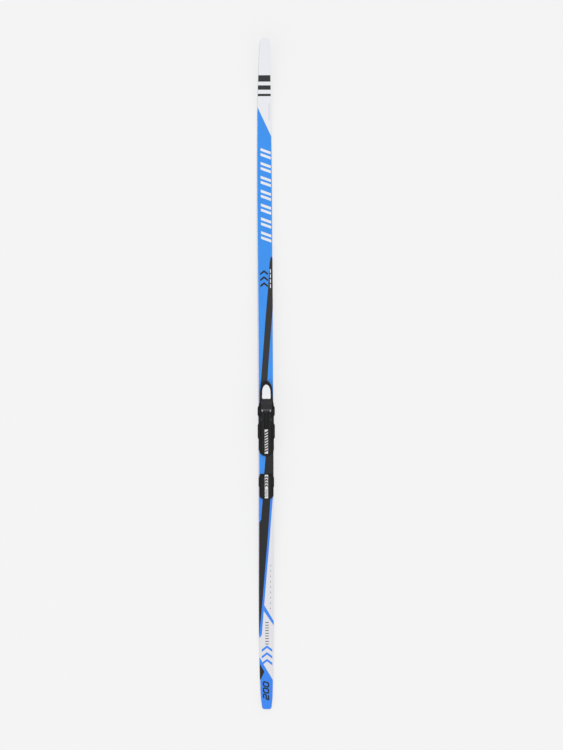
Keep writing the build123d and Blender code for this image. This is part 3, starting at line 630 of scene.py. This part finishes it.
# the ski's length in centimetres, in squared slanted numerals that read towards the tip
numerals = {
    "text": "200",
    "base": 5.4,
    "height": 14.7,
    "start": -971.5,
    "advance": 18.3,
    "width": 12.6,
    "slant": 0.3,
    "line": 4.2,
    "strokes": {  # (across, up) shares of a numeral's box
        "0": [(0, 0.14), (0, 0.86), (0.16, 1), (0.84, 1), (1, 0.86), (1, 0.14), (0.84, 0), (0.16, 0),
              (0, 0.14)],
        "2": [(0, 1), (0.86, 1), (1, 0.88), (1, 0.56), (0.86, 0.46), (0.14, 0.46), (0, 0.36), (0, 0), (1, 0)],
    },
}


def stroke(points, width, lift):
    # a printed line of even width through the points: each is set off both ways along its corner's bisector
    p = np.array(points, float)
    closed = np.allclose(p[0], p[-1])
    runs = np.diff(p, axis=0)
    runs /= np.linalg.norm(runs, axis=1)[:, None]
    before = np.vstack([runs[-1] if closed else runs[0], runs])
    after = np.vstack([runs, runs[0] if closed else runs[-1]])
    corner = before + after
    corner /= np.linalg.norm(corner, axis=1)[:, None]
    reach = width / 2 / np.sum(corner * after, axis=1)[:, None]
    side = np.stack([-corner[:, 1], corner[:, 0]], 1) * reach
    edges = np.stack([p - side, p, p + side], 1)
    return lay(edges[..., 0], edges[..., 1], lift)


def numeralGrids(spec, lift):
    grids = []
    for place, numeral in enumerate(spec["text"]):
        across, up = np.array(spec["strokes"][numeral]).T
        rise = spec["height"] * up
        y = spec["start"] + spec["advance"] * place + spec["width"] * across + spec["slant"] * rise
        x = spec["base"] - rise
        grids.append(stroke(np.stack([x, y], 1), spec["line"], lift))
    return grids


finishPiece(gridsPiece("lengthNumerals", numeralGrids(numerals, markLift)), "deepBlack")
print("graphics laid")

# ---- layers, sidewalls and sole keep their own shapes ----
layerFinishes = {
    "running_base": "sole",
    "lower_laminate": "laminate",
    "upper_laminate": "laminate",
    "wood_core": "wood",
    "tip_spacer": "spacer",
    "tail_spacer": "spacer",
    # both sidewalls take the flank colour with painted shade in it
    "sidewall_left": "flank",
    "sidewall_right": "flank",
    "claw_springs": "steel",
    "press_plate_pin": "steel",
    "toe_bar_saddle": "darkSteel",
    "toe_screws": "darkSteel",
    "heel_screws": "darkSteel",
    "toe_channel_strip": "strip",
    "heel_channel_strip": "strip",
}
for name, finish in layerFinishes.items():
    finishNode(name, finish)

# ---- binding: moulded pieces with softened edges ----
moulded = {
    "bindingBase": {"node": "binding_base", "finish": "binding", "slot": "binding_plastic", "round": 0.45},
    "toeHousing": {"node": "toe_housing", "finish": "binding", "slot": "binding_plastic", "round": 0.45},
    "heelPlate": {"node": "heel_plate", "finish": "binding", "slot": "binding_plastic", "round": 0.45},
    "flexorBlock": {"node": "flexor", "finish": "rubber", "slot": "flexor_rubber", "round": 0.6},
    "pressPlate": {"node": "press_plate", "finish": "press", "slot": "press_white", "round": 0.5,
                   "body": "press"},
    "clawSlider": {"node": "claw_slider", "finish": "clawSteel", "slot": "bright_steel", "round": 0.25,
                   "body": "claws"},
}


def roundedCopy(name, node, width):
    # the node's own shape, merged, with its sharp edges rounded over
    mesh = cadNodes[node].data.copy()
    mesh.name = name
    shape = bmesh.new()
    shape.from_mesh(mesh)
    bmesh.ops.remove_doubles(shape, verts=shape.verts, dist=0.002 * mm)
    bmesh.ops.dissolve_limit(shape, angle_limit=math.radians(1), verts=shape.verts, edges=shape.edges)
    shape.to_mesh(mesh)
    shape.free()
    mesh.polygons.foreach_set("use_smooth", np.ones(len(mesh.polygons), bool))
    mesh.set_sharp_from_angle(angle=math.radians(32))
    piece = bpy.data.objects.new(name, mesh)
    bpy.context.scene.collection.objects.link(piece)
    bevel = piece.modifiers.new("softEdges", "BEVEL")
    bevel.width = width * mm
    bevel.segments = 2
    bevel.limit_method = "ANGLE"
    bevel.angle_limit = math.radians(40)
    bevel.harden_normals = True
    return piece


for name, spec in moulded.items():
    finishPiece(roundedCopy(name, spec["node"], spec["round"]), spec["finish"], spec.get("body", "ski"),
                spec["node"])


def nodePoints(node):
    mesh = cadNodes[node].data
    points = np.empty(len(mesh.vertices) * 3, np.float32)
    mesh.vertices.foreach_get("co", points)
    return points.reshape(-1, 3).astype(float) / mm


# this bead carries a painted highlight: its pale grey is partly wear, partly the light caught along the
# hood's rear edge
hoodLip = {"corner": 7.0, "turnDegrees": 62, "radius": 0.9, "sunk": 0.6, "sides": 12}


def hoodLipPiece(spec):
    # a bead along the rear edge of the flexor's hood: straight across, a rounded turn at each end
    points = nodePoints("flexor")
    rear, half = points[:, 1].min(), points[:, 0].max()
    high = points[points[:, 1] < rear + 0.5, 2].max()
    turns = np.linspace(0, math.radians(spec["turnDegrees"]), 13)
    x = half - spec["corner"] + spec["corner"] * np.sin(turns)
    y = rear + spec["corner"] * (1 - np.cos(turns))
    path = np.stack([np.concatenate([-x[::-1], x]), np.concatenate([y[::-1], y])], 1)
    run = np.gradient(path, axis=0)
    run /= np.linalg.norm(run, axis=1)[:, None]
    out = np.stack([run[:, 1], -run[:, 0]], 1)
    taper = np.sqrt(np.clip(1 - np.linspace(-1, 1, len(path)) ** 8, 0.02, 1))[:, None]
    sides = spec["sides"]
    around = np.linspace(0, 2 * np.pi, sides, endpoint=False)
    swing = spec["radius"] * taper * np.cos(around)
    flat = path[:, None] + out[:, None] * swing[..., None]
    z = high - spec["sunk"] + spec["radius"] * taper * np.sin(around)
    ring = np.concatenate([flat, z[..., None]], -1)
    faces = gridFaces(len(path), sides, closed=True).tolist()
    faces.append(list(range(sides - 1, -1, -1)))
    faces.append(list(range(sides * len(path) - sides, sides * len(path))))
    return outward(meshPiece("hoodLip", ring.reshape(-1, 3), faces), 60)


finishPiece(hoodLipPiece(hoodLip), "hoodLip")

# generic patterns on the two label strips, as distances back from a strip's front end
stripLift = 0.06
stripPrints = {
    "toeStripBars": {"node": "toe_channel_strip", "tone": "deepBlack", "half": 4.5, "from": 8.5, "pitch": 7.9,
                     "count": 8, "thick": 4.4, "slant": 5.0},
    "heelStripChevrons": {"node": "heel_channel_strip", "tone": "deepBlack", "half": 4.2, "from": 9.0,
                          "pitch": 8.4, "count": 4, "thick": 4.4, "rise": 4.0},
    "heelStripTicks": {"node": "heel_channel_strip", "tone": "markGrey", "half": 2.9, "from": 45.0,
                       "pitch": 4.0, "count": 6, "thick": 1.8, "slant": 0.0},
}


def stripMarks(spec, lift):
    # bars or chevrons on the strip's top face, which is a plane through its front and rear edges
    points = nodePoints(spec["node"])
    front, rear = points[:, 1].max(), points[:, 1].min()
    frontTop = points[points[:, 1] > front - 2, 2].max()
    rearTop = points[points[:, 1] < rear + 2, 2].max()
    half, h = spec["half"], spec["thick"] / 2
    lean, rise = spec.get("slant", 0) / 2, spec.get("rise", 0)
    x = np.array([-half, 0, half])
    grids = []
    for place in range(spec["count"]):
        middle = front - spec["from"] - spec["pitch"] * place
        y = middle + np.array([-lean, rise, lean])
        rows = np.stack([y - h, y + h])
        z = rearTop + (frontTop - rearTop) * (rows - rear) / (front - rear) + lift
        grids.append(np.stack([np.stack([x, x]), rows, z], -1))
    return grids


for name, spec in stripPrints.items():
    finishPiece(gridsPiece(name, stripMarks(spec, stripLift)), spec["tone"])
print("binding finished")

# ---- studio ----


def makeFloor():
    mesh = bpy.data.meshes.new("floor")
    s = studio["floorHalf"]
    mesh.from_pydata([(-s, -s, 0), (s, -s, 0), (s, s, 0), (-s, s, 0)], [], [(0, 1, 2, 3)])
    floor = bpy.data.objects.new("floor", mesh)
    bpy.context.scene.collection.objects.link(floor)
    base = colour(*studio["background"])
    glow = studio["floorGlow"]
    material = plainMaterial("floorPaper", shade(base, 1 - glow), 0.9, specular=0.0)
    shader = material.node_tree.nodes["Principled BSDF"]
    shader.inputs["Emission Color"].default_value = base
    shader.inputs["Emission Strength"].default_value = glow
    mesh.materials.append(material)
    floor.location.z = -studio["floorDrop"]


def makeLights():
    world = bpy.data.worlds.new("studioWorld")
    bpy.context.scene.world = world
    world.use_nodes = True
    sky = world.node_tree.nodes["Background"]
    sky.inputs["Color"].default_value = (1, 1, 1, 1)
    sky.inputs["Strength"].default_value = studio["skyStrength"]
    light = bpy.data.lights.new("key", "AREA")
    size, place = studio["keySize"], Vector(studio["keyPlace"])
    light.shape = "SQUARE"
    light.size = size
    light.energy = studio["keyStrength"] * math.pi * size**2 * studio["keyGain"]
    key = bpy.data.objects.new("key", light)
    bpy.context.scene.collection.objects.link(key)
    key.location = place
    key.rotation_euler = place.to_track_quat("Z", "Y").to_euler()


def makeCamera():
    camera = bpy.data.cameras.new("camera")
    camera.sensor_fit = "AUTO"
    camera.sensor_width = 36.0
    camera.lens = studio["lens"]
    made = bpy.data.objects.new("camera", camera)
    bpy.context.scene.collection.objects.link(made)
    distance = studio["framedHeight"] * camera.lens / camera.sensor_width
    lean, roll = math.radians(studio["leanDegrees"]), math.radians(studio["rollDegrees"])
    out = Vector((-math.sin(lean), 0, math.cos(lean)))
    # the view's right-hand direction, turned by the roll
    right = Matrix.Rotation(roll, 3, out) @ Vector((math.cos(lean), 0, math.sin(lean)))
    up = out.cross(right)
    made.matrix_world = Matrix((
        (right.x, up.x, out.x, studio["aim"][0] + out.x * distance),
        (right.y, up.y, out.y, studio["aim"][1] + out.y * distance),
        (right.z, up.z, out.z, studio["aim"][2] + out.z * distance),
        (0, 0, 0, 1),
    ))
    camera.clip_start, camera.clip_end = 1.0, 300.0
    bpy.context.scene.camera = made


makeFloor()
makeLights()
makeCamera()
bpy.context.scene.view_settings.view_transform = "Standard"
bpy.context.scene.view_settings.look = "None"
print("studio ready")

print("cad", [round(v, 4) for v in (*cadLow, *cadHigh)])
